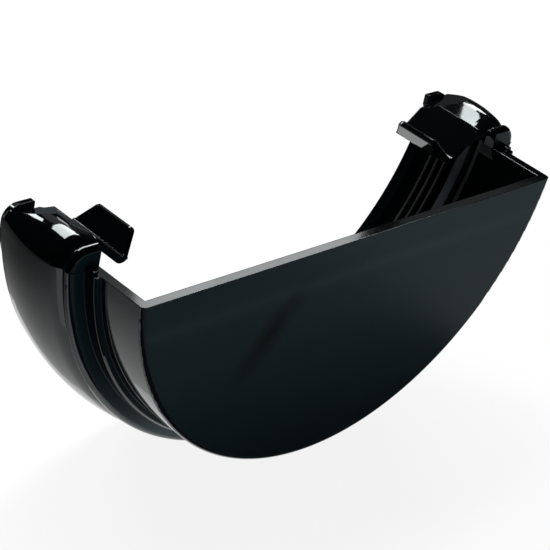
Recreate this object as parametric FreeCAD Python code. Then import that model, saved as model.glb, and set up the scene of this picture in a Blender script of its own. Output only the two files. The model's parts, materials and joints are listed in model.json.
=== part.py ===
import FreeCAD, Part
import math
import os

# Push-fit stop end for a half-round rainwater gutter: a moulded body and the ribbed seal in its channel.
# Millimetres. X runs across the gutter, Y along it from the end plate's inner face, where the gutter stops,
# and Z up from the rim. The round walls share one axis, which lies a little above the rim.

# Gutter that the cap takes
gutter_radius = 56.0
socket_clearance = 0.3
axis_height = 7.2

# End plate and end wall
plate_thickness = 2.0
plate_edge_round = 1.2
wall_thickness = 2.1
wall_length = 9.8

# Small step and ridge in front of the seal housing
step_rise = 1.4
step_width = 3.2
step_end_height = 0.8
step_end_setback = 1.0
step_bevel = 0.4
ridge_rise = 4.9
ridge_width = 1.7
ridge_end_height = 4.3
ridge_end_ledge = 0.1
ridge_front_round = 1.4
ridge_back_bevel = 0.2
raised_end_flat = 0.3
web_thickness = 3.4

# Groove between the ridge and the seal housing
groove_width = 0.9
groove_depth = 1.0

# Seal housing: the wide crowned band round the outside, its channel and its back lip
band_rise = 5.3
band_length = 18.8
band_crown = 1.5
band_taper = 0.6
crown_edge = 1.9
band_nose_length = 1.7
band_nose_fall = 1.0
band_nose_round = 5.0
band_back_bevel = 0.6
housing_wall = 2.0
lip_thickness = 3.0
lip_bevel = 0.3
seal_stop_height = 0.8

# Hood of each clip: a shoulder that starts just under the rim, then a top that falls inwards to a crease
shoulder_radius = 4.6
shoulder_start = -0.6
hood_fall_angle = 15.5
crease_inset = 1.7
crease_crown = 0.05

# Sloping end at the back of the hood
slope_length = 4.9
slope_drop = 2.0
slope_tilt = 7.5

# Spring of each clip: a leg that runs down from the crease, a V and a thumb paddle that rises from it
spring_thickness = 1.5
spring_front_gap = 1.1
spring_back_gap = 2.5
valley_inset = 8.8
valley_depth = 2.6
valley_round = 0.6
paddle_inset = 12.4
paddle_height = 1.8
paddle_end_slant = 2.5
paddle_corner_round = 1.2
paddle_edge_bevel = 0.35

# Upstand at the back end of each clip
upstand_thickness = 1.2
upstand_height = 3.1
upstand_inset = 0.0
upstand_foot = 0.6
upstand_proud = -1.0
upstand_shoulder = 3.2
upstand_round = 0.3
upstand_bend_depth = 3.3
upstand_bend_round = 10.0
upstand_reach = 10.0

# Ribbed seal
seal_fit = 0.15
seal_base = 1.6
seal_squeeze = 0.3
seal_end_setback = 0.4
heel_width = 1.2
heel_depth = 0.7
land_place = 2.5
land_width = 2.4
land_depth = 0.3
rib_place = 6.7
rib_pitch = 2.0
rib_tip = 0.8
rib_flare = 0.25
rib_margin = 4.0

# Radii and places that follow from the sizes above
inner_radius = gutter_radius + socket_clearance
wall_radius = inner_radius + wall_thickness
step_radius = wall_radius + step_rise
ridge_radius = wall_radius + ridge_rise
groove_radius = ridge_radius - groove_depth
band_radius = wall_radius + band_rise
band_back_radius = band_radius - band_taper
channel_radius = band_radius - housing_wall

step_front = wall_length
ridge_front = step_front + step_width
ridge_back = ridge_front + ridge_width
band_front = ridge_back + groove_width
band_back = band_front + band_length
band_middle = band_front + band_length / 2
channel_front = ridge_front + web_thickness
channel_back = band_back - lip_thickness
spring_front = band_front + spring_front_gap
spring_back = band_back - spring_back_gap
upstand_front = band_back - upstand_thickness

axis_point = FreeCAD.Vector(0, 0, axis_height)
along = FreeCAD.Vector(0, 1, 0)
FAR = 4 * band_radius


def rim_x(radius, height=0.0):
    """Distance from the middle plane to a curve of this radius at a height above the rim."""
    return math.sqrt(radius ** 2 - (axis_height - height) ** 2)


def angle_at(radius, height):
    """Angle in degrees below the axis at which a curve of this radius reaches a height."""
    return math.degrees(math.asin((axis_height - height) / radius))


def in_section(radius, y):
    """Point of a lengthwise section, drawn in the level plane through the axis."""
    return FreeCAD.Vector(radius, y, axis_height)


def across(x, z):
    """Point of a crosswise outline, drawn in the plane where the gutter stops."""
    return FreeCAD.Vector(x, 0, z)


def pointing(angle):
    """Crosswise direction at an angle in degrees from +X towards +Z."""
    return FreeCAD.Vector(math.cos(math.radians(angle)), 0, math.sin(math.radians(angle)))


def left_of(way):
    """Crosswise direction a quarter turn to the left of another."""
    return FreeCAD.Vector(-way.z, 0, way.x)


def unit(vector):
    """Copy of a vector with a length of one."""
    return vector * (1 / vector.Length)


def rounded_corner(before, corner, after, radius):
    """Start, arc (or None) and end of a corner that is rounded to a radius."""
    if radius <= 0:
        return corner, None, corner
    towards = unit(before - corner)
    away = unit(after - corner)
    half = math.acos(max(-1.0, min(1.0, towards.dot(away)))) / 2
    start = corner + towards * (radius / math.tan(half))
    end = corner + away * (radius / math.tan(half))
    middle = corner + unit(towards + away) * (radius / math.sin(half) - radius)
    return start, Part.Arc(start, middle, end).toShape(), end


def rounded_face(corners, place):
    """Flat face inside a closed outline of (u, v, corner radius), set in space by place(u, v)."""
    points = [place(u, v) for u, v, radius in corners]
    count = len(points)
    rounded = []
    for index, (u, v, radius) in enumerate(corners):
        after = points[(index + 1) % count]
        rounded.append(rounded_corner(points[index - 1], points[index], after, radius))
    edges = []
    for index, (start, arc, end) in enumerate(rounded):
        if arc is not None:
            edges.append(arc)
        following = rounded[(index + 1) % count][0]
        if end.distanceToPoint(following) > 1e-6:
            edges.append(Part.LineSegment(end, following).toShape())
    return Part.Face(Part.Wire(Part.__sortEdges__(edges)))


def strip_face(path, thickness):
    """Crosswise face of a strip that lies to the left of a path of (point, corner radius)."""
    points = [point for point, radius in path]
    ways = [unit(after - before) for before, after in zip(points, points[1:])]
    back = []
    for index, (point, radius) in enumerate(path):
        way_in = ways[max(index - 1, 0)]
        way_out = ways[min(index, len(ways) - 1)]
        bisector = unit(left_of(way_in) + left_of(way_out))
        moved = point + bisector * (thickness / bisector.dot(left_of(way_out)))
        bend = radius - thickness if left_of(way_in).dot(way_out) > 0 else radius + thickness
        back.append((moved.x, moved.z, max(bend, 0) if radius else 0))
    front = [(point.x, point.z, radius) for point, radius in path]
    return rounded_face(front + back[::-1], across)


def turned(face, end_angle):
    """Solid from a lengthwise section turned under the axis, each end at an angle below the level."""
    solid = face.revolve(axis_point, along, 180 - 2 * end_angle)
    solid.rotate(axis_point, along, end_angle)
    return solid


def drawn(face, front, back):
    """Solid from a crosswise face, drawn along the gutter from front to back."""
    solid = face.extrude(along * (back - front))
    solid.translate(along * front)
    return solid


def with_mirror_image(solid):
    """A clip's solid and its mirror image on the other side."""
    return [solid, solid.mirror(FreeCAD.Vector(), FreeCAD.Vector(1, 0, 0))]


def crown_radius(crown):
    """Radius of a crown of this height, which leaves a straight run beside the band's nose and back edge."""
    front = band_length / 2 - band_nose_length
    turn = math.atan2(crown, front) + math.atan2(crown + band_taper, band_length / 2)
    return (math.hypot(crown, front) - crown_edge) / math.tan(turn / 2)


def band_corners(crown):
    """Outside of the band in section with a crown of this height, from its blunt nose to its back edge."""
    return [
        (band_radius - band_nose_fall, band_front, 0),
        (band_radius, band_front + band_nose_length, band_nose_round),
        (band_radius + crown, band_middle, crown_radius(crown)),
        (band_back_radius, band_back - band_back_bevel, 0),
        (band_back_radius - band_back_bevel, band_back, 0),
    ]


# Visible line of a clip: shoulder, top, crease, valley and paddle
gutter_edge_x = rim_x(gutter_radius)
lean_angle = angle_at(band_radius, shoulder_start)
shoulder_foot = across(rim_x(band_radius, shoulder_start), shoulder_start)
shoulder_centre = shoulder_foot - pointing(-lean_angle) * shoulder_radius
top_start = shoulder_centre + pointing(90 + hood_fall_angle) * shoulder_radius
top_way = pointing(180 + hood_fall_angle)
crease = top_start + top_way * ((top_start.x - gutter_edge_x + crease_inset) / -top_way.x)
valley = across(gutter_edge_x - valley_inset, -valley_depth)
paddle_top = across(gutter_edge_x - paddle_inset, paddle_height)
leg_way = unit(valley - crease)
paddle_way = unit(paddle_top - valley)
valley_end = valley + paddle_way * (valley_round * math.tan(leg_way.getAngle(paddle_way) / 2))


def end_ring():
    """End plate, end wall, step, ridge and the web that closes the channel's front, up to the rim."""
    section = rounded_face([
        (0, -plate_thickness, 0),
        (wall_radius, -plate_thickness, plate_edge_round),
        (wall_radius, step_front, 0),
        (step_radius - step_bevel, step_front, 0),
        (step_radius, step_front + step_bevel, 0),
        (step_radius, ridge_front, 0),
        (ridge_radius, ridge_front, ridge_front_round),
        (ridge_radius, ridge_back - ridge_back_bevel, 0),
        (ridge_radius - ridge_back_bevel, ridge_back, 0),
        (channel_radius, ridge_back, 0),
        (channel_radius, channel_front, 0),
        (inner_radius, channel_front, 0),
        (inner_radius, 0, 0),
        (0, 0, 0),
    ], in_section)
    above_rim = Part.makeBox(2 * FAR, FAR, FAR, FreeCAD.Vector(-FAR, -FAR / 2, 0))
    return turned(section, 0).cut(above_rim)


def seal_housing():
    """Wide band with the groove in front of it, the channel for the seal and the back lip."""
    section = rounded_face([
        (channel_radius, ridge_back, 0),
        (groove_radius, ridge_back, 0),
        (groove_radius, band_front, 0),
        *band_corners(band_crown),
        (inner_radius + lip_bevel, band_back, 0),
        (inner_radius, band_back - lip_bevel, 0),
        (inner_radius, channel_back, 0),
        (channel_radius, channel_back, 0),
    ], in_section)
    return turned(section, lean_angle)


def raised_end(inner, outer, height, front, back):
    """End of a ridge, which stands above the rim between two radii with a rounded outer corner."""
    width = rim_x(outer) - rim_x(inner)
    outline = rounded_face([
        (rim_x(inner), 0, 0),
        (rim_x(outer), 0, 0),
        (rim_x(outer), height, min(height, width) - raised_end_flat),
        (rim_x(inner), height, 0),
    ], across)
    return drawn(outline, front, back)


def is_front_edge(edge):
    """True for an edge that runs over the front of the ridge's end, above the rim."""
    on_front = all(vertex.Y < ridge_front + 2 * ridge_end_ledge for vertex in edge.Vertexes)
    return on_front and edge.BoundBox.XMax > rim_x(inner_radius) and edge.BoundBox.ZMax > 1e-6


def ridge_ends():
    """Ends of the step, the ridge and the groove's floor on one side."""
    step = raised_end(wall_radius, step_radius, step_end_height, step_front + step_end_setback, ridge_front)
    ridge = raised_end(inner_radius, ridge_radius - ridge_end_ledge, ridge_end_height,
                       ridge_front + ridge_end_ledge, ridge_back)
    groove = raised_end(inner_radius, groove_radius, ridge_end_height - groove_depth, ridge_back, band_front)
    over_front = [edge for edge in ridge.Edges if is_front_edge(edge)]
    return [step, ridge.makeFillet(ridge_front_round, over_front), groove]


def seal_stop():
    """Block under the hood that carries the back lip up behind the seal's end."""
    return raised_end(inner_radius, channel_radius, seal_stop_height, channel_back, band_back)


def leg_side():
    """Space on the visible side of the spring's leg."""
    corners = [
        crease - leg_way * FAR,
        crease + leg_way * FAR,
        crease + (leg_way - left_of(leg_way)) * FAR,
        crease - (leg_way + left_of(leg_way)) * FAR,
    ]
    return drawn(rounded_face([(corner.x, corner.z, 0) for corner in corners], across), 0, FAR)


def hood_section(crown):
    """Section of the band's wall with a crown of this height, where the shoulder of a hood starts."""
    section = rounded_face([
        (channel_radius, band_front, 0),
        *band_corners(crown),
        (channel_radius, band_back, 0),
    ], in_section)
    section.rotate(axis_point, along, lean_angle)
    return section


def hood():
    """Hood of one clip: the band's wall carried over the shoulder, flattening to the crease where the leg starts."""
    turn = lean_angle + 90 + hood_fall_angle
    shoulder = hood_section(band_crown).revolve(shoulder_centre, -along, turn)
    start = hood_section(band_crown)
    end = hood_section(crease_crown)
    for section in (start, end):
        section.rotate(shoulder_centre, -along, turn)
    end.translate(crease - top_start)
    top = Part.makeLoft([start.OuterWire, end.OuterWire], True, True)
    behind_leg = Part.makeBox(FAR, FAR, 2 * FAR, FreeCAD.Vector(0, spring_back, -FAR))
    below_crease = end.extrude(top_way * shoulder_radius).cut(behind_leg)
    return shoulder.fuse(top.fuse(below_crease).cut(leg_side()))


def slope_cutter():
    """Space above and behind the sloping back end of a hood, over its whole width."""
    slope_end = crease.z - slope_drop
    clear_top = crease.z + shoulder_radius
    clear_back = band_back + shoulder_radius
    slope_start = upstand_front - slope_length * (clear_top - slope_end) / slope_drop
    outline = rounded_face([
        (slope_start, clear_top, 0),
        (upstand_front, slope_end, 0),
        (upstand_front, 0, 0),
        (clear_back, 0, 0),
        (clear_back, clear_top, 0),
    ], lambda y, z: FreeCAD.Vector(crease.x, y, z))
    outline.translate(pointing(slope_tilt) * -shoulder_radius)
    return outline.extrude(pointing(slope_tilt) * FAR)


def spring():
    """Leg and valley of one clip's spring."""
    path = [(crease, 0), (valley, valley_round), (valley_end, 0)]
    return drawn(strip_face(path, spring_thickness), spring_front, spring_back)


def paddle():
    """Thumb paddle of one clip: a plate that narrows to its free edge."""
    length = (paddle_top - valley_end).Length
    face = rounded_face([
        (spring_front, 0, 0),
        (spring_back, 0, 0),
        (spring_back - paddle_end_slant, length, paddle_corner_round),
        (spring_front + paddle_end_slant, length, paddle_corner_round),
    ], lambda y, distance: valley_end + paddle_way * distance + along * y)
    plate = face.extrude(left_of(paddle_way) * spring_thickness)
    return plate.makeChamfer(paddle_edge_bevel, [edge for edge in plate.Edges if is_free(edge)])


def is_free(edge):
    """True for an edge of the paddle that runs round its outline, clear of the valley."""
    ways = [(vertex.Point - valley_end).dot(paddle_way) for vertex in edge.Vertexes]
    depths = [(vertex.Point - valley_end).dot(left_of(paddle_way)) for vertex in edge.Vertexes]
    return max(ways) > paddle_edge_bevel and abs(depths[0] - depths[-1]) < spring_thickness / 2


def upstand():
    """Upstand at the back end of one clip, carried up from the back lip and fading into the band."""
    foot_radius = band_back_radius - band_back_bevel
    outline = rounded_face([
        (gutter_edge_x - upstand_inset, upstand_foot, 0),
        (gutter_edge_x - upstand_inset, upstand_height, upstand_round),
        (rim_x(band_radius) + upstand_proud, upstand_height, upstand_shoulder),
        (rim_x(band_radius, -upstand_bend_depth) + upstand_proud / 2, -upstand_bend_depth, upstand_bend_round),
        (rim_x(foot_radius, -upstand_reach), -upstand_reach, 0),
        (rim_x(channel_radius, -upstand_reach), -upstand_reach, 0),
        (rim_x(inner_radius + lip_bevel), 0, 0),
    ], across)
    return drawn(outline, upstand_front, band_back)


def clip():
    """One snap clip: ridge ends, hood, spring, paddle and upstand."""
    covered = hood().fuse([spring(), seal_stop()]).cut(slope_cutter())
    return covered.fuse([paddle(), upstand()] + ridge_ends())


def cap_body():
    """The whole moulding as one solid."""
    solid = end_ring().fuse([seal_housing()] + with_mirror_image(clip()))
    return solid.removeSplitter()


def seal_tooth(middle, width, tip_radius, bed_radius):
    """Corners of a rib in the seal's section, from its back foot over its tip to its front foot."""
    half = width / 2
    return [
        (bed_radius, middle + half + rib_flare, 0),
        (tip_radius, middle + half, 0),
        (tip_radius, middle - half, 0),
        (bed_radius, middle - half - rib_flare, 0),
    ]


def rib_middles():
    """Places of the fine ribs, from the front, as many as the channel has room for."""
    room = channel_back - channel_front - rib_place - rib_margin
    count = math.floor(room / rib_pitch) + 1
    return [channel_front + rib_place + index * rib_pitch for index in range(count)]


def ribbed_seal():
    """Seal strip: a base in the channel, with a heel, a broad land and fine ribs towards the gutter."""
    base_radius = channel_radius - seal_fit
    bed_radius = base_radius - seal_base
    heel_radius = inner_radius + heel_depth
    front = channel_front + seal_fit
    back = channel_back - seal_fit
    outline = [(base_radius, front, 0), (base_radius, back, 0), (bed_radius, back, 0)]
    for middle in reversed(rib_middles()):
        outline += seal_tooth(middle, rib_tip, gutter_radius - seal_squeeze, bed_radius)
    land_middle = channel_front + land_place + land_width / 2
    outline += seal_tooth(land_middle, land_width, inner_radius + land_depth, bed_radius)
    outline += [
        (bed_radius, front + heel_width + rib_flare, 0),
        (heel_radius, front + heel_width, 0),
        (heel_radius, front, 0),
    ]
    return turned(rounded_face(outline, in_section), lean_angle + seal_end_setback)


os.makedirs("parts", exist_ok=True)
pieces = {"cap_body": cap_body(), "ribbed_seal": ribbed_seal()}
for name, shape in pieces.items():
    shape.exportStep("parts/" + name + ".step")
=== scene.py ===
"""Looks of a push-fit end cap for half-round gutter: a glossy black moulding and its ribbed rubber seal."""

from __future__ import annotations

import json
import logging
import math
from dataclasses import dataclass, field
from enum import Enum
from typing import Any

import bmesh
import bpy
from mathutils import Matrix, Vector

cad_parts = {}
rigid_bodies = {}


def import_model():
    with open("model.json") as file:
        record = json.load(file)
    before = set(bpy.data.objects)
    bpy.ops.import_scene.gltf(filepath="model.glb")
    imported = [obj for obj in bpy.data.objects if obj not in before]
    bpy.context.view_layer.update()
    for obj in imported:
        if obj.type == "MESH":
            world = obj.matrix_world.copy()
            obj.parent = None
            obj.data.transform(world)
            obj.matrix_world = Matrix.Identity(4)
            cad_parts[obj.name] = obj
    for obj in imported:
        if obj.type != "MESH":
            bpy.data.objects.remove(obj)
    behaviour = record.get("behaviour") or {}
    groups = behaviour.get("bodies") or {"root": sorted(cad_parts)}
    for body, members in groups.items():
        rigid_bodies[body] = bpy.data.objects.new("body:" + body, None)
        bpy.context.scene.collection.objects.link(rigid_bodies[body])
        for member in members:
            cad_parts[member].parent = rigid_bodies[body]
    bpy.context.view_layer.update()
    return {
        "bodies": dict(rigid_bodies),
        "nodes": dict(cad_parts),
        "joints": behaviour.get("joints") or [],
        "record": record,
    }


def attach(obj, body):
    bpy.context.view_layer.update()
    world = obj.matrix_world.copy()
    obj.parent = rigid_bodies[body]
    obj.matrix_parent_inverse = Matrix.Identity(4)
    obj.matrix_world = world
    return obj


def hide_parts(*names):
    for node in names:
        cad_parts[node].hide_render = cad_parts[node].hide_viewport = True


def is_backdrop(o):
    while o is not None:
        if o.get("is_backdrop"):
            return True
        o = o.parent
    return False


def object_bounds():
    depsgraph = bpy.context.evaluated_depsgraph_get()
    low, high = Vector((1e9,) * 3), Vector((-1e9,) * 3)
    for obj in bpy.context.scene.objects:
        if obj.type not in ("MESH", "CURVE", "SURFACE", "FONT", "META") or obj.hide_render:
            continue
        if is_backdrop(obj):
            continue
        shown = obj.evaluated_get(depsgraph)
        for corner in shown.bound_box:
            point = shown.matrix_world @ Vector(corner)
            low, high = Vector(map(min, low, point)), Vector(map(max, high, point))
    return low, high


log = logging.getLogger("gutter_end_cap")

MM = 0.001
BODY = "root"
FRONT = (0.0, -1.0, 0.0)
MERGE_DISTANCE = 1e-6
SOFT_ANGLE = math.radians(35)


class Node(str, Enum):
    """Kinds of shader and geometry node that the finishes, the seal and the studio use."""

    COORDINATES = "ShaderNodeTexCoord"
    GEOMETRY = "ShaderNodeNewGeometry"
    MAPPING = "ShaderNodeMapping"
    NOISE = "ShaderNodeTexNoise"
    GRADIENT = "ShaderNodeTexGradient"
    RANGE = "ShaderNodeMapRange"
    MATHS = "ShaderNodeMath"
    SEPARATE = "ShaderNodeSeparateXYZ"
    VECTOR_MATHS = "ShaderNodeVectorMath"
    MIX = "ShaderNodeMix"
    BUMP = "ShaderNodeBump"
    SOFT_EDGES = "ShaderNodeBevel"
    PRINCIPLED = "ShaderNodeBsdfPrincipled"
    DIFFUSE = "ShaderNodeBsdfDiffuse"
    EMISSION = "ShaderNodeEmission"
    MIX_SHADER = "ShaderNodeMixShader"
    LIGHT_PATH = "ShaderNodeLightPath"
    BACKGROUND = "ShaderNodeBackground"
    SURFACE_OUT = "ShaderNodeOutputMaterial"
    WORLD_OUT = "ShaderNodeOutputWorld"
    GROUP_IN = "NodeGroupInput"
    GROUP_OUT = "NodeGroupOutput"
    ARC = "GeometryNodeCurveArc"
    OBJECT_INFO = "GeometryNodeObjectInfo"
    TRANSFORM = "GeometryNodeTransform"
    SWEEP = "GeometryNodeCurveToMesh"
    REALIZE = "GeometryNodeRealizeInstances"
    SET_MATERIAL = "GeometryNodeSetMaterial"


def add_node(
    tree: bpy.types.NodeTree, kind: Node, inputs: dict[Any, Any] | None = None, **settings: Any,
) -> bpy.types.Node:
    """Add a node with its settings and links.

    Args:
        tree: The tree that gets the node.
        kind: The kind of node.
        inputs: Input name or number to a value, or to the socket that feeds it.
        **settings: Attributes of the node.

    Returns:
        The new node.
    """
    node = tree.nodes.new(kind.value)
    for name, value in settings.items():
        setattr(node, name, value)
    for key, value in (inputs or {}).items():
        if isinstance(value, bpy.types.NodeSocket):
            tree.links.new(value, node.inputs[key])
        else:
            node.inputs[key].default_value = value
    return node


def linear(hex_colour: str) -> tuple[float, float, float, float]:
    """Turn an sRGB hex colour to linear.

    Args:
        hex_colour: Six hex digits after a hash sign.

    Returns:
        Linear red, green, blue and an alpha of one.
    """
    channels = [int(hex_colour[place:place + 2], 16) / 255 for place in (1, 3, 5)]
    red, green, blue = (c / 12.92 if c <= 0.04045 else ((c + 0.055) / 1.055) ** 2.4 for c in channels)
    return red, green, blue, 1.0


def new_material(name: str) -> tuple[bpy.types.Material, bpy.types.NodeTree]:
    """Make an empty node material.

    Args:
        name: The material's name.

    Returns:
        The material and its empty tree.
    """
    material = bpy.data.materials.new(name)
    material.use_nodes = True
    material.node_tree.nodes.clear()
    return material, material.node_tree


def per_metre(size_mm: float) -> float:
    """Texture scale whose features are about this many millimetres across."""
    return 1.0 / (size_mm * MM)


def seen_directly(tree: bpy.types.NodeTree) -> bpy.types.NodeSocket:
    """Add a socket that is one for camera, glossy and transmission rays.

    Args:
        tree: The tree that gets the nodes.

    Returns:
        The socket.
    """
    rays = add_node(tree, Node.LIGHT_PATH).outputs
    direct = add_node(tree, Node.MATHS, {
        0: rays["Is Camera Ray"], 1: rays["Is Glossy Ray"],
    }, operation="MAXIMUM").outputs["Value"]
    return add_node(tree, Node.MATHS, {
        0: direct, 1: rays["Is Transmission Ray"],
    }, operation="MAXIMUM").outputs["Value"]


@dataclass(frozen=True)
class PaintedLightMark:
    """A long soft band painted into the end plate's colour and shine, as shade where it is darker and as a
    reflection where it is lighter, turned about the gutter's direction.
    """

    middle_mm: tuple[float, float, float]
    half_mm: tuple[float, float, float]
    turn: float
    strength: float
    colour: str
    shine_colour: str

    def share(self, tree: bpy.types.NodeTree, place: bpy.types.NodeSocket) -> bpy.types.NodeSocket:
        """Add a socket that is the mark's strength in its middle and fades to nothing at its edge.

        Args:
            tree: The tree that gets the nodes.
            place: Object coordinates.

        Returns:
            The socket.
        """
        from_middle = add_node(tree, Node.MAPPING, {
            "Vector": place,
            "Location": tuple(value * MM for value in self.middle_mm),
            "Rotation": (0.0, self.turn, 0.0),
            "Scale": tuple(value * MM for value in self.half_mm),
        }, vector_type="TEXTURE").outputs["Vector"]
        fade = add_node(tree, Node.GRADIENT, {
            "Vector": from_middle,
        }, gradient_type="SPHERICAL").outputs["Fac"]
        return add_node(tree, Node.MATHS, {
            0: fade, 1: self.strength,
        }, operation="MULTIPLY").outputs["Value"]


@dataclass(frozen=True)
class MouldedUpvc:
    """Black uPVC from a polished mould, with a satin end plate."""

    # To the eye: near black with sharp reflections, which a faint haze and orange peel soften a little.
    # The end plate is duller, with flow lines; its lighter bluish colour is painted light, and its two soft
    # marks are a painted shade and a painted reflection.
    name: str = "moulded_black_upvc"
    colour: str = "#040607"
    # Painted light: the front-facing end plate gets this lighter bluish colour, which stands for the
    # brightness its gloss shows.
    plate_painted_light_colour: str = "#0C1B22"
    flow_colour: str = "#14272E"
    shine_colour: str = "#EEF8FA"
    plate_shine_colour: str = "#A8DDE4"
    ior: float = 1.53
    gloss_roughness: float = 0.04
    haze_roughness: float = 0.08
    plate_roughness: float = 0.34
    plate_facing: tuple[float, float] = (0.9, 0.99)
    haze_mm: float = 26.0
    haze_detail: float = 3.0
    haze_range: tuple[float, float] = (0.35, 0.7)
    flow_width_mm: float = 9.0
    flow_detail: float = 2.0
    flow_stretch: float = 7.0
    flow_turn: float = math.radians(24)
    peel_mm: float = 2.6
    peel_detail: float = 1.0
    peel_height_mm: float = 0.0035
    edge_radius_mm: float = 0.22
    edge_samples: int = 6
    marks: tuple[PaintedLightMark, ...] = (
        # Painted shade: a darker colour and a weaker shine in a slanted band on the left of the plate.
        PaintedLightMark(
            middle_mm=(-22.0, -2.0, -16.0), half_mm=(15.0, 10.0, 4.2), turn=math.radians(-52.8),
            strength=0.85, colour="#03070A", shine_colour="#3C5A62",
        ),
        # Painted reflection: a lighter colour and a paler, stronger shine in a level band across the plate.
        PaintedLightMark(
            middle_mm=(-5.0, -2.0, -7.6), half_mm=(110.0, 10.0, 2.2), turn=0.0,
            strength=0.5, colour="#1C343C", shine_colour="#E6FFFF",
        ),
    )

    def front_share(self, tree: bpy.types.NodeTree) -> bpy.types.NodeSocket:
        """Add a socket that is one where the surface faces the front, as the end plate does.

        Args:
            tree: The tree that gets the nodes.

        Returns:
            The socket.
        """
        facing = add_node(tree, Node.VECTOR_MATHS, {
            0: add_node(tree, Node.GEOMETRY).outputs["Normal"], 1: FRONT,
        }, operation="DOT_PRODUCT").outputs["Value"]
        none, full = self.plate_facing
        return add_node(tree, Node.RANGE, {
            "Value": facing, "From Min": none, "From Max": full,
        }, interpolation_type="SMOOTHSTEP").outputs["Result"]

    def plate_colours(
        self, tree: bpy.types.NodeTree, place: bpy.types.NodeSocket,
    ) -> tuple[bpy.types.NodeSocket, bpy.types.NodeSocket]:
        """Add the end plate's colour, lifted as painted light, and the tint of its shine, with the painted
        shade and painted reflection of the marks in both.

        Args:
            tree: The tree that gets the nodes.
            place: Object coordinates.

        Returns:
            The sockets of the colour and the tint.
        """
        along_flow = add_node(tree, Node.MAPPING, {
            "Vector": place,
            "Rotation": (0.0, self.flow_turn, 0.0),
            "Scale": (1.0 / self.flow_stretch, 1.0, 1.0),
        }).outputs["Vector"]
        flow = add_node(tree, Node.NOISE, {
            "Vector": along_flow, "Scale": per_metre(self.flow_width_mm), "Detail": self.flow_detail,
        }).outputs["Fac"]
        colour = add_node(tree, Node.MIX, {
            "Factor": flow, "A": linear(self.plate_painted_light_colour), "B": linear(self.flow_colour),
        }, data_type="RGBA").outputs["Result"]
        shine: Any = linear(self.plate_shine_colour)
        for mark in self.marks:
            share = mark.share(tree, place)
            colour = add_node(tree, Node.MIX, {
                "Factor": share, "A": colour, "B": linear(mark.colour),
            }, data_type="RGBA").outputs["Result"]
            shine = add_node(tree, Node.MIX, {
                "Factor": share, "A": shine, "B": linear(mark.shine_colour),
            }, data_type="RGBA").outputs["Result"]
        return colour, shine

    def gloss(self, tree: bpy.types.NodeTree, place: bpy.types.NodeSocket) -> bpy.types.NodeSocket:
        """Add the roughness of the polished faces, with its haze.

        Args:
            tree: The tree that gets the nodes.
            place: Object coordinates.

        Returns:
            The socket.
        """
        haze = add_node(tree, Node.NOISE, {
            "Vector": place, "Scale": per_metre(self.haze_mm), "Detail": self.haze_detail,
        }).outputs["Fac"]
        clear, hazy = self.haze_range
        return add_node(tree, Node.RANGE, {
            "Value": haze, "From Min": clear, "From Max": hazy,
            "To Min": self.gloss_roughness, "To Max": self.haze_roughness,
        }).outputs["Result"]

    def relief(self, tree: bpy.types.NodeTree, place: bpy.types.NodeSocket) -> bpy.types.NodeSocket:
        """Add the surface's normal, with soft edges and a faint orange peel.

        Args:
            tree: The tree that gets the nodes.
            place: Object coordinates.

        Returns:
            The socket.
        """
        peel = add_node(tree, Node.NOISE, {
            "Vector": place, "Scale": per_metre(self.peel_mm), "Detail": self.peel_detail,
        }).outputs["Fac"]
        edges = add_node(tree, Node.SOFT_EDGES, {
            "Radius": self.edge_radius_mm * MM,
        }, samples=self.edge_samples).outputs["Normal"]
        return add_node(tree, Node.BUMP, {
            "Height": peel, "Distance": self.peel_height_mm * MM, "Normal": edges,
        }).outputs["Normal"]

    def material(self) -> bpy.types.Material:
        """Build the finish.

        Returns:
            The material.
        """
        material, tree = new_material(self.name)
        place = add_node(tree, Node.COORDINATES).outputs["Object"]
        on_plate = self.front_share(tree)
        plate_painted_light_colour, plate_shine = self.plate_colours(tree, place)
        # Front-facing faces get a lighter bluish colour than the rest of the same plastic: painted light on
        # the end plate.
        colour = add_node(tree, Node.MIX, {
            "Factor": on_plate, "A": linear(self.colour), "B": plate_painted_light_colour,
        }, data_type="RGBA").outputs["Result"]
        shine = add_node(tree, Node.MIX, {
            "Factor": on_plate, "A": linear(self.shine_colour), "B": plate_shine,
        }, data_type="RGBA").outputs["Result"]
        roughness = add_node(tree, Node.MIX, {
            "Factor": on_plate, "A": self.gloss(tree, place), "B": self.plate_roughness,
        }, data_type="FLOAT").outputs["Result"]
        shader = add_node(tree, Node.PRINCIPLED, {
            "Base Color": colour, "Roughness": roughness, "IOR": self.ior,
            "Normal": self.relief(tree, place), "Specular Tint": shine,
        }).outputs["BSDF"]
        add_node(tree, Node.SURFACE_OUT, {"Surface": shader})
        return material


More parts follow.
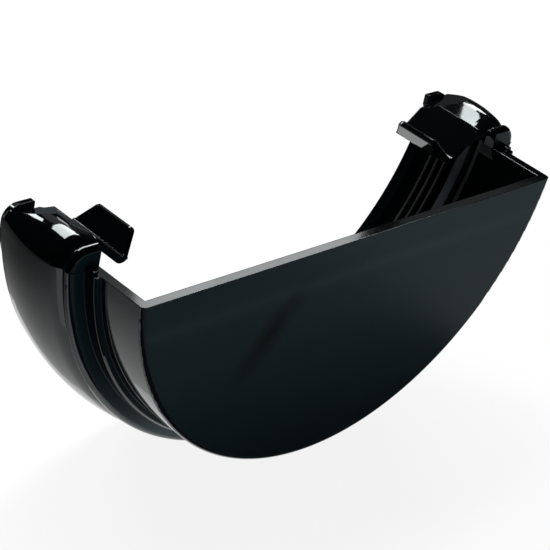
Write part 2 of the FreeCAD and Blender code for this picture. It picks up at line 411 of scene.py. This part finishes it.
@dataclass(frozen=True)
class EpdmRubber:
    """Extruded EPDM: soft black rubber with a satin bloom and a fine grain."""

    # To the eye: a duller black than the moulding, with a broad soft shine; the paler bluish band on the land
    # is a painted reflection.
    # The real grain is too fine to show, so it is drawn half a millimetre across.
    name: str = "extruded_epdm_rubber"
    colour: str = "#101112"
    bloom_colour: str = "#1C1E1F"
    land_painted_reflection_colour: str = "#2A333C"
    land_margin_mm: float = 0.1
    ior: float = 1.5
    smooth_roughness: float = 0.34
    bloom_roughness: float = 0.5
    bloom_mm: float = 7.0
    bloom_detail: float = 4.0
    bloom_range: tuple[float, float] = (0.3, 0.7)
    grain_mm: float = 0.5
    grain_detail: float = 2.0
    grain_height_mm: float = 0.004

    def material(self, land_middle_mm: float, land_width_mm: float) -> bpy.types.Material:
        """Build the finish.

        Args:
            land_middle_mm: Place of the land's middle along the gutter.
            land_width_mm: Width of the land.

        Returns:
            The material.
        """
        material, tree = new_material(self.name)
        place = add_node(tree, Node.COORDINATES).outputs["Object"]
        bloom = add_node(tree, Node.NOISE, {
            "Vector": place, "Scale": per_metre(self.bloom_mm), "Detail": self.bloom_detail,
        }).outputs["Fac"]
        bloomed = add_node(tree, Node.MIX, {
            "Factor": bloom, "A": linear(self.colour), "B": linear(self.bloom_colour),
        }, data_type="RGBA").outputs["Result"]
        # Painted reflection: the land gets a paler bluish colour.
        on_land = add_node(tree, Node.MATHS, {
            0: add_node(tree, Node.SEPARATE, {"Vector": place}).outputs["Y"],
            1: land_middle_mm * MM,
            2: (land_width_mm / 2 + self.land_margin_mm) * MM,
        }, operation="COMPARE").outputs["Value"]
        colour = add_node(tree, Node.MIX, {
            "Factor": on_land, "A": bloomed, "B": linear(self.land_painted_reflection_colour),
        }, data_type="RGBA").outputs["Result"]
        smooth, full = self.bloom_range
        roughness = add_node(tree, Node.RANGE, {
            "Value": bloom, "From Min": smooth, "From Max": full,
            "To Min": self.smooth_roughness, "To Max": self.bloom_roughness,
        }).outputs["Result"]
        grain = add_node(tree, Node.NOISE, {
            "Vector": place, "Scale": per_metre(self.grain_mm), "Detail": self.grain_detail,
        }).outputs["Fac"]
        bump = add_node(tree, Node.BUMP, {
            "Height": grain, "Distance": self.grain_height_mm * MM,
        }).outputs["Normal"]
        shader = add_node(tree, Node.PRINCIPLED, {
            "Base Color": colour, "Roughness": roughness, "IOR": self.ior, "Normal": bump,
        }).outputs["BSDF"]
        add_node(tree, Node.SURFACE_OUT, {"Surface": shader})
        return material


@dataclass(frozen=True)
class WhitePaper:
    """Matt white background paper."""

    # To the eye: plain white, which keeps only a pale shadow of the object.
    name: str = "white_background_paper"
    colour: str = "#F7F7F7"
    own_light: float = 0.88

    def material(self) -> bpy.types.Material:
        """Build the finish.

        Returns:
            The material.
        """
        material, tree = new_material(self.name)
        paper = add_node(tree, Node.DIFFUSE, {"Color": linear(self.colour)}).outputs["BSDF"]
        white = add_node(tree, Node.EMISSION, {"Strength": 1.0}).outputs["Emission"]
        share = add_node(tree, Node.MATHS, {
            0: seen_directly(tree), 1: self.own_light,
        }, operation="MULTIPLY").outputs["Value"]
        shown = add_node(tree, Node.MIX_SHADER, {0: share, 1: paper, 2: white}).outputs["Shader"]
        add_node(tree, Node.SURFACE_OUT, {"Surface": shown})
        return material


@dataclass(frozen=True)
class ClothAndPaintedShadow:
    """Even tone that only the gloss sees: black cloth that keeps the white room out of the plastic's gloss,
    and grey cards in front of the object that are a painted floor shadow.
    """

    # To the eye: never seen itself, only as an even tone in the gloss.
    name: str
    colour: str

    def material(self) -> bpy.types.Material:
        """Build the finish.

        Returns:
            The material.
        """
        material, tree = new_material(self.name)
        cloth = add_node(tree, Node.EMISSION, {"Color": linear(self.colour)}).outputs["Emission"]
        add_node(tree, Node.SURFACE_OUT, {"Surface": cloth})
        return material


@dataclass(frozen=True)
class ShadedCloth:
    """Cloth that turns softly from one grey to another between two places on the floor."""

    # To the eye: a reflection that darkens gently across the round band, with no edge in it.
    name: str
    near_colour: str
    far_colour: str
    near_mm: tuple[float, float]
    far_mm: tuple[float, float]

    def material(self) -> bpy.types.Material:
        """Build the finish.

        Returns:
            The material.
        """
        material, tree = new_material(self.name)
        run = (Vector(self.far_mm) - Vector(self.near_mm)) * MM
        along = add_node(tree, Node.MAPPING, {
            "Vector": add_node(tree, Node.COORDINATES).outputs["Object"],
            "Location": (self.near_mm[0] * MM, self.near_mm[1] * MM, 0.0),
            "Rotation": (0.0, 0.0, math.atan2(run.y, run.x)),
            "Scale": (run.length, run.length, run.length),
        }, vector_type="TEXTURE").outputs["Vector"]
        share = add_node(tree, Node.GRADIENT, {"Vector": along}, gradient_type="EASING").outputs["Fac"]
        grey = add_node(tree, Node.MIX, {
            "Factor": share, "A": linear(self.near_colour), "B": linear(self.far_colour),
        }, data_type="RGBA").outputs["Result"]
        cloth = add_node(tree, Node.EMISSION, {"Color": grey}).outputs["Emission"]
        add_node(tree, Node.SURFACE_OUT, {"Surface": cloth})
        return material


@dataclass
class CapBody:
    """The moulding: end plate, end wall, ridges, seal housing and both snap clips, as the frame has it."""

    node: str = "cap_body"
    finish: MouldedUpvc = field(default_factory=MouldedUpvc)

    def dress(self, frame: dict[str, Any]) -> bpy.types.Object:
        """Give the frame's moulding its finish.


        Returns:
            The moulding's object.
        """
        moulding = frame["nodes"][self.node]
        moulding.data.materials.clear()
        moulding.data.materials.append(self.finish.material())
        return moulding


@dataclass
class RibbedSeal:
    """The seal strip, swept round the channel from one section with a heel, a land and fine ribs."""

    node: str = "ribbed_seal"
    name: str = "ribbed_seal_strip"
    slot: str = "seal_rubber"
    axis_height_mm: float = 7.2
    base_radius_mm: float = 61.55
    bed_radius_mm: float = 59.95
    rib_radius_mm: float = 55.7
    land_radius_mm: float = 56.6
    heel_radius_mm: float = 57.0
    end_angle: float = math.radians(7.43)
    front_mm: float = 16.55
    back_mm: float = 31.25
    heel_width_mm: float = 1.2
    land_middle_mm: float = 20.1
    land_width_mm: float = 2.4
    first_rib_mm: float = 23.1
    rib_pitch_mm: float = 2.0
    rib_count: int = 3
    rib_tip_mm: float = 0.8
    flare_mm: float = 0.25
    tip_steps: int = 4
    sweep_steps: int = 180
    finish: EpdmRubber = field(default_factory=EpdmRubber)

    def tooth(self, middle: float, width: float, tip: float) -> list[tuple[float, float]]:
        """Outline a rib from its back foot over its rounded tip to its front foot.

        Args:
            middle: Place of the rib's middle along the gutter.
            width: Width of the tip.
            tip: Radius that the tip reaches in to.

        Returns:
            Points of (radius, place along the gutter).
        """
        half = width / 2
        quarter = [math.pi / 2 * step / self.tip_steps for step in range(self.tip_steps + 1)]
        back = [
            (tip + self.flare_mm * (1 - math.sin(a)), middle + half - self.flare_mm * (1 - math.cos(a)))
            for a in quarter
        ]
        front = [(radius, 2 * middle - y) for radius, y in reversed(back)]
        feet = middle + half + self.flare_mm
        return [(self.bed_radius_mm, feet), *back, *front, (self.bed_radius_mm, 2 * middle - feet)]

    def section(self) -> list[tuple[float, float]]:
        """Outline the strip's section.

        Returns:
            Points of (radius, place along the gutter), in order round it.
        """
        points = [
            (self.base_radius_mm, self.front_mm),
            (self.base_radius_mm, self.back_mm),
            (self.bed_radius_mm, self.back_mm),
        ]
        for index in reversed(range(self.rib_count)):
            middle = self.first_rib_mm + index * self.rib_pitch_mm
            points += self.tooth(middle, self.rib_tip_mm, self.rib_radius_mm)
        points += self.tooth(self.land_middle_mm, self.land_width_mm, self.land_radius_mm)
        heel_back = self.front_mm + self.heel_width_mm
        points += [
            (self.bed_radius_mm, heel_back + self.flare_mm),
            (self.heel_radius_mm + self.flare_mm, heel_back),
            (self.heel_radius_mm, heel_back - self.flare_mm),
            (self.heel_radius_mm, self.front_mm),
        ]
        return points

    def section_curve(self) -> bpy.types.Object:
        """Draw the section as a flat curve, out from the sweep's line.

        Returns:
            The curve's object.
        """
        points = self.section()
        curve = bpy.data.curves.new("seal_section", "CURVE")
        curve.dimensions = "2D"
        spline = curve.splines.new("POLY")
        spline.points.add(len(points) - 1)
        for target, (radius, y) in zip(spline.points, points):
            target.co = (-y * MM, (radius - self.base_radius_mm) * MM, 0.0, 1.0)
        spline.use_cyclic_u = True
        drawn = bpy.data.objects.new("seal_section", curve)
        bpy.context.scene.collection.objects.link(drawn)
        return drawn

    def tree(self) -> bpy.types.NodeTree:
        """Build the geometry tree that sweeps a section round the channel.

        Returns:
            The tree.
        """
        tree = bpy.data.node_groups.new("strip round a channel", "GeometryNodeTree")
        sockets = {
            "Section": "NodeSocketObject",
            "Radius": "NodeSocketFloat",
            "Start Angle": "NodeSocketFloat",
            "Sweep Angle": "NodeSocketFloat",
            "Steps": "NodeSocketInt",
            "Axis": "NodeSocketVector",
            "Material": "NodeSocketMaterial",
        }
        for name, kind in sockets.items():
            tree.interface.new_socket(name, in_out="INPUT", socket_type=kind)
        tree.interface.new_socket("Geometry", in_out="OUTPUT", socket_type="NodeSocketGeometry")
        given = add_node(tree, Node.GROUP_IN).outputs
        arc = add_node(tree, Node.ARC, {
            "Resolution": given["Steps"], "Radius": given["Radius"],
            "Start Angle": given["Start Angle"], "Sweep Angle": given["Sweep Angle"],
        }, mode="RADIUS").outputs["Curve"]
        upright = add_node(tree, Node.TRANSFORM, {
            "Geometry": arc, "Translation": given["Axis"], "Rotation": (math.pi / 2, 0.0, 0.0),
        }).outputs["Geometry"]
        section = add_node(tree, Node.OBJECT_INFO, {"Object": given["Section"]}).outputs["Geometry"]
        strip = add_node(tree, Node.SWEEP, {
            "Curve": upright, "Profile Curve": section, "Fill Caps": True,
        }).outputs["Mesh"]
        real = add_node(tree, Node.REALIZE, {"Geometry": strip}).outputs["Geometry"]
        finished = add_node(tree, Node.SET_MATERIAL, {
            "Geometry": real, "Material": given["Material"],
        }).outputs["Geometry"]
        add_node(tree, Node.GROUP_OUT, {"Geometry": finished})
        return tree

    def build(self) -> bpy.types.Object:
        """Sweep the strip and set it in the frame's channel.

        Returns:
            The strip's object, with its finish.
        """
        drawn = self.section_curve()
        carrier = bpy.data.objects.new("seal_carrier", bpy.data.meshes.new("seal_carrier"))
        bpy.context.scene.collection.objects.link(carrier)
        modifier = carrier.modifiers.new("strip", "NODES")
        modifier.node_group = self.tree()
        values = {
            "Section": drawn,
            "Radius": self.base_radius_mm * MM,
            "Start Angle": math.pi + self.end_angle,
            "Sweep Angle": math.pi - 2 * self.end_angle,
            "Steps": self.sweep_steps,
            "Axis": (0.0, 0.0, self.axis_height_mm * MM),
            "Material": self.finish.material(self.land_middle_mm, self.land_width_mm),
        }
        for item in modifier.node_group.interface.items_tree:
            if item.in_out == "INPUT":
                modifier[item.identifier] = values[item.name]
        strip = plain_copy(carrier, self.name)
        for helper in (carrier, drawn):
            bpy.data.objects.remove(helper)
        face_outwards(strip)
        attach(strip, BODY)
        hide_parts(self.node)
        return strip


def plain_copy(source: bpy.types.Object, name: str) -> bpy.types.Object:
    """Turn an object with modifiers into a plain mesh object.

    Args:
        source: The object to evaluate.
        name: Name of the new object.

    Returns:
        The new object, linked to the scene.
    """
    graph = bpy.context.evaluated_depsgraph_get()
    mesh = bpy.data.meshes.new_from_object(source.evaluated_get(graph))
    mesh.name = name
    made = bpy.data.objects.new(name, mesh)
    bpy.context.scene.collection.objects.link(made)
    return made


def face_outwards(piece: bpy.types.Object) -> None:
    """Merge a closed mesh's doubles, turn its faces outwards and smooth its soft edges.

    Args:
        piece: The object that has the mesh.
    """
    shape = bmesh.new()
    shape.from_mesh(piece.data)
    bmesh.ops.remove_doubles(shape, verts=shape.verts, dist=MERGE_DISTANCE)
    bmesh.ops.recalc_face_normals(shape, faces=shape.faces)
    shape.to_mesh(piece.data)
    shape.free()
    piece.data.shade_smooth()
    piece.data.set_sharp_from_angle(angle=SOFT_ANGLE)


@dataclass(frozen=True)
class Softbox:
    """A rectangular soft light, placed by its direction from the object in degrees, with sizes in metres."""

    name: str
    azimuth: float
    elevation: float
    width: float
    height: float
    radiance: float
    distance: float = 1.0

    def hang(self, centre: Vector) -> bpy.types.Object:
        """Hang the light so that it faces the object.

        Args:
            centre: Point that it faces.

        Returns:
            The light's object.
        """
        away = direction(self.azimuth, self.elevation)
        hung = area_light(self.name, (self.width, self.height), self.radiance)
        hung.location = centre + away * self.distance
        hung.rotation_euler = away.to_track_quat("Z", "Y").to_euler()
        return hung


@dataclass(frozen=True)
class StripLight:
    """A long soft light that hangs level, above the object and behind it, with sizes in metres."""

    name: str = "strip_softbox"
    middle: tuple[float, float, float] = (0.333, 0.360, 0.600)
    length: float = 0.916
    width: float = 0.165
    turn: float = math.radians(10.9)
    radiance: float = 14.0

    def hang(self) -> bpy.types.Object:
        """Hang the light over the floor.

        Returns:
            The light's object.
        """
        hung = area_light(self.name, (self.length, self.width), self.radiance)
        hung.location = self.middle
        hung.rotation_euler = (0.0, 0.0, self.turn)
        return hung


def area_light(name: str, size: tuple[float, float], radiance: float) -> bpy.types.Object:
    """Make a rectangular light that the camera doesn't see.

    Args:
        name: The light's name.
        size: Its width and height, in metres.
        radiance: How bright its face is, where 1 is white.

    Returns:
        The light's object, at the origin and facing down.
    """
    lamp = bpy.data.lights.new(name, "AREA")
    lamp.shape = "RECTANGLE"
    lamp.size, lamp.size_y = size
    lamp.energy = radiance * math.pi * lamp.size * lamp.size_y
    made = bpy.data.objects.new(name, lamp)
    made.visible_camera = False
    bpy.context.scene.collection.objects.link(made)
    return made


def direction(azimuth: float, elevation: float) -> Vector:
    """Unit vector at an azimuth from -Y towards +X and an elevation, both in degrees."""
    turn, rise = math.radians(azimuth), math.radians(elevation)
    return Vector((math.sin(turn) * math.cos(rise), -math.cos(turn) * math.cos(rise), math.sin(rise)))


def flat_piece(
    name: str, corners: list[tuple[float, float, float]], finish: WhitePaper | ClothAndPaintedShadow | ShadedCloth,
) -> bpy.types.Object:
    """Make a flat piece of the studio.

    Args:
        name: The piece's name.
        corners: Its corners in order, in metres.
        finish: What it is made of.

    Returns:
        The piece's object, linked to the scene.
    """
    mesh = bpy.data.meshes.new(name)
    mesh.from_pydata(corners, [], [tuple(range(len(corners)))])
    mesh.materials.append(finish.material())
    made = bpy.data.objects.new(name, mesh)
    bpy.context.scene.collection.objects.link(made)
    return made


def only_in_gloss(card: bpy.types.Object) -> None:
    """Hide a stage piece from everything but glossy rays.

    Args:
        card: The piece's object.
    """
    card.visible_camera = False
    card.visible_diffuse = False
    card.visible_transmission = False
    card.visible_shadow = False
    card.visible_volume_scatter = False
    card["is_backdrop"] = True


@dataclass(frozen=True)
class FloorFlag:
    """A card that lies on the floor between two corners, and that only the gloss sees."""

    name: str
    near_mm: tuple[float, float]
    far_mm: tuple[float, float]
    cloth: ClothAndPaintedShadow | ShadedCloth

    def lay(self, height_mm: float) -> bpy.types.Object:
        """Lay the card.

        Args:
            height_mm: Height that it lies at.

        Returns:
            The card's object.
        """
        (left, front), (right, back) = self.near_mm, self.far_mm
        outline = ((left, front), (right, front), (right, back), (left, back))
        card = flat_piece(self.name, [(x * MM, y * MM, height_mm * MM) for x, y in outline], self.cloth)
        only_in_gloss(card)
        return card


@dataclass(frozen=True)
class SideWall:
    """An upright card at the left of the object, which only the gloss sees."""

    name: str = "left_wall"
    place_mm: float = -140.0
    front_mm: float = -600.0
    back_mm: float = 600.0
    top_mm: float = 900.0

    def stand(self, foot_mm: float, cloth: ClothAndPaintedShadow) -> bpy.types.Object:
        """Stand the card.

        Args:
            foot_mm: Height of its lower edge.
            cloth: What it is covered with.

        Returns:
            The card's object.
        """
        outline = (
            (self.front_mm, foot_mm), (self.back_mm, foot_mm),
            (self.back_mm, self.top_mm), (self.front_mm, self.top_mm),
        )
        card = flat_piece(self.name, [(self.place_mm * MM, y * MM, z * MM) for y, z in outline], cloth)
        only_in_gloss(card)
        return card


@dataclass
class Studio:
    """White paper floor and soft lights, with black cloth and grey cards that only the gloss sees.

    Sizes are in metres, apart from those whose names end in mm.
    """

    floor_size: float = 6.0
    ambient: float = 0.2
    tent_radius: float = 2.6
    tent_steps: int = 48
    card_lift_mm: float = 0.5
    paper: WhitePaper = field(default_factory=WhitePaper)
    black: ClothAndPaintedShadow = ClothAndPaintedShadow("black_cloth", "#050505")
    wall: SideWall = SideWall()
    flags: tuple[FloorFlag, ...] = (
        # Painted shadow: the next three cards lie where the object's shadow falls on the floor in front, and
        # their fixed greys, darkest at the foot, stand for that shaded floor in the gloss.
        FloorFlag(
            "foot_flag", near_mm=(-140.0, -35.0), far_mm=(70.0, -2.0),
            cloth=ClothAndPaintedShadow("painted_floor_shadow_cloth", "#303030"),
        ),
        FloorFlag(
            "front_flag", near_mm=(-140.0, -600.0), far_mm=(70.0, -35.0),
            cloth=ClothAndPaintedShadow("painted_floor_shade_cloth", "#707070"),
        ),
        FloorFlag(
            "right_flag", near_mm=(70.0, -600.0), far_mm=(600.0, -2.0),
            cloth=ClothAndPaintedShadow("grey_cloth", "#989898"),
        ),
        FloorFlag(
            "left_flag", near_mm=(-140.0, 15.0), far_mm=(-42.0, 300.0),
            cloth=ShadedCloth(
                "shaded_cloth", near_colour="#D4D4D4", far_colour="#626262",
                near_mm=(-45.0, 35.0), far_mm=(-88.0, 95.0),
            ),
        ),
        FloorFlag(
            "rear_right_flag", near_mm=(20.0, 70.0), far_mm=(1500.0, 1500.0),
            cloth=ClothAndPaintedShadow("dim_grey_cloth", "#4C5256"),
        ),
    )
    softboxes: tuple[Softbox, ...] = (
        Softbox("rear_softbox", azimuth=189.0, elevation=40.0, width=0.22, height=0.40, radiance=16.0),
        Softbox("rear_fill_softbox", azimuth=148.0, elevation=44.0, width=0.45, height=0.38, radiance=0.4),
        Softbox("rim_softbox", azimuth=131.7, elevation=32.0, width=0.14, height=0.13, radiance=3.4),
        Softbox("rim_fill_softbox", azimuth=117.0, elevation=31.0, width=0.26, height=0.16, radiance=0.15),
        Softbox("horizon_softbox", azimuth=130.0, elevation=8.0, width=0.56, height=0.24, radiance=0.05),
    )
    strip: StripLight = StripLight()

    def build(self) -> None:
        """Set the world, the floor, the cloth and the lights."""
        low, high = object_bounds()
        self.world()
        self.floor(low.z)
        self.tent(low.z)
        self.strip.hang()
        for softbox in self.softboxes:
            softbox.hang((low + high) / 2)

    def world(self) -> None:
        """Make the room white to look at and dim as a light."""
        world = bpy.data.worlds.new("white room")
        bpy.context.scene.world = world
        world.use_nodes = True
        tree = world.node_tree
        tree.nodes.clear()
        dim = add_node(tree, Node.BACKGROUND, {"Strength": self.ambient}).outputs["Background"]
        white = add_node(tree, Node.BACKGROUND, {
            "Color": linear("#FFFFFF"), "Strength": 1.0,
        }).outputs["Background"]
        shown = add_node(tree, Node.MIX_SHADER, {0: seen_directly(tree), 1: dim, 2: white}).outputs["Shader"]
        add_node(tree, Node.WORLD_OUT, {"Surface": shown})

    def floor(self, height: float) -> None:
        """Lay the paper floor.

        Args:
            height: Height of the floor, in metres.
        """
        half = self.floor_size / 2
        corners = [(-half, -half, height), (half, -half, height), (half, half, height), (-half, half, height)]
        floor = flat_piece("paper_floor", corners, self.paper)
        floor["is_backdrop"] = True

    def tent(self, height: float) -> None:
        """Hang black cloth all round the set, stand the wall and lay the cards.

        Args:
            height: Height of the floor, in metres.
        """
        bpy.ops.mesh.primitive_uv_sphere_add(
            segments=self.tent_steps, ring_count=self.tent_steps // 2, radius=self.tent_radius,
        )
        dome = bpy.context.object
        dome.name = "black_tent"
        dome.data.materials.append(self.black.material())
        only_in_gloss(dome)
        card_height_mm = height / MM + self.card_lift_mm
        self.wall.stand(card_height_mm, self.black)
        for flag in self.flags:
            flag.lay(card_height_mm)


@dataclass(frozen=True)
class PhotoCamera:
    """The photograph's viewpoint, fitted to the part's outline and edges, with angles in degrees."""

    azimuth: float = -49.73
    elevation: float = 29.98
    roll: float = 12.44
    distance_mm: float = 429.65
    focal_px: float = 2065.32
    picture_px: float = 550.0
    look_at_mm: tuple[float, float, float] = (0.0, 23.0, -20.0)
    slide_right_mm: float = 3.18
    slide_up_mm: float = -1.83
    nearest_mm: float = 10.0

    def place(self) -> bpy.types.Object:
        """Make the camera and give it to the scene.

        Returns:
            The camera's object.
        """
        back = direction(self.azimuth, self.elevation)
        right = (-back).cross(Vector((0.0, 0.0, 1.0))).normalized()
        up = right.cross(-back)
        target = Vector(self.look_at_mm) + right * self.slide_right_mm + up * self.slide_up_mm
        turn = math.radians(self.roll)
        across = right * math.cos(turn) + up * math.sin(turn)
        upright = up * math.cos(turn) - right * math.sin(turn)
        lens = bpy.data.cameras.new("photo_camera")
        lens.lens = self.focal_px / self.picture_px * lens.sensor_width
        lens.clip_start = self.nearest_mm * MM
        camera = bpy.data.objects.new("photo_camera", lens)
        bpy.context.scene.collection.objects.link(camera)
        stand = Matrix((across, upright, back)).transposed().to_4x4()
        stand.translation = (target + back * self.distance_mm) * MM
        camera.matrix_world = stand
        bpy.context.scene.camera = camera
        return camera


def main() -> None:
    """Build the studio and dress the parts."""
    logging.basicConfig(level=logging.INFO, format="%(name)s: %(message)s")
    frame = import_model()
    bpy.context.scene.view_settings.view_transform = "Standard"
    Studio().build()
    camera = PhotoCamera().place()
    log.info("camera with a %.1f mm lens", camera.data.lens)
    moulding = CapBody().dress(frame)
    log.info("dressed %s, %d faces", moulding.name, len(moulding.data.polygons))
    strip = RibbedSeal().build()
    log.info("swept %s, %d faces", strip.name, len(strip.data.polygons))


if __name__ == "__main__":
    main()
